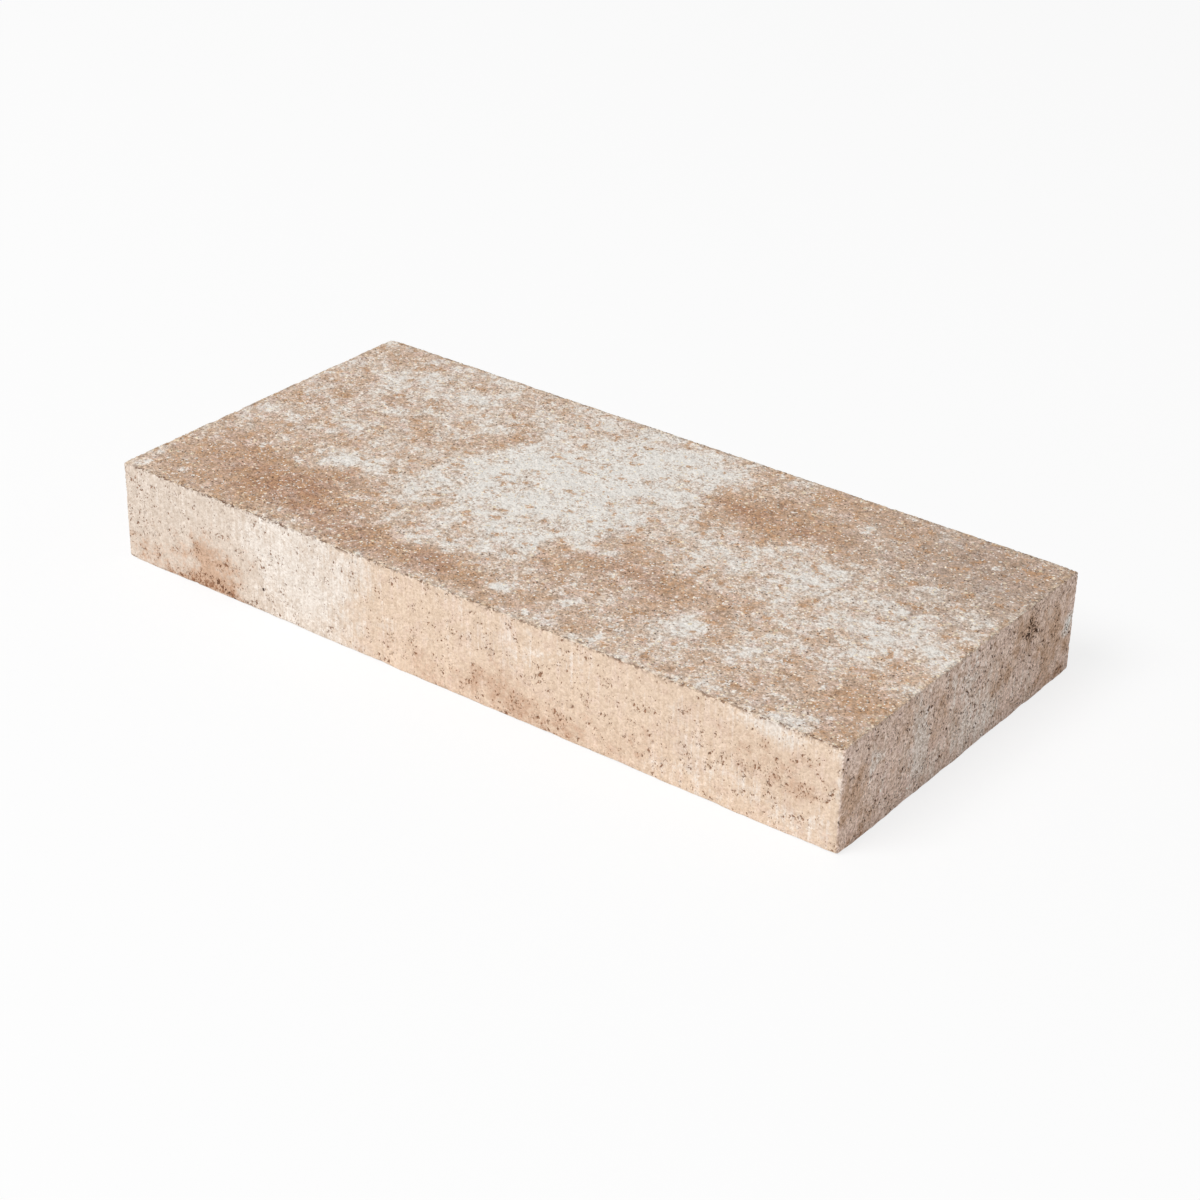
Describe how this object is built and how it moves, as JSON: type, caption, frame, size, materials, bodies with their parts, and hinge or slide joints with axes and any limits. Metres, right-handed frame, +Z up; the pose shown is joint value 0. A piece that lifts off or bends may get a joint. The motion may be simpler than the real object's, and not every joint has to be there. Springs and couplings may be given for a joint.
{
  "type": "wall coping stone",
  "caption": "Flat rectangular concrete coping stone with worn, lightly rounded arrises and a mottled sand and lime-white top, laid end to end to cap a garden wall.",
  "frame": {"origin": "centre of the underside, on the bed plane", "axes": "+X along the stone's length, along the wall; +Y across the wall, from the front face to the back face; +Z up"},
  "size_m": [0.4, 0.19, 0.05],
  "materials": {
    "concrete": "rough, matt, sand-coloured concrete with pale lime bloom"
  },
  "bodies": {
    "root": {"coping_stone": "concrete"}
  },
  "joints": []
}
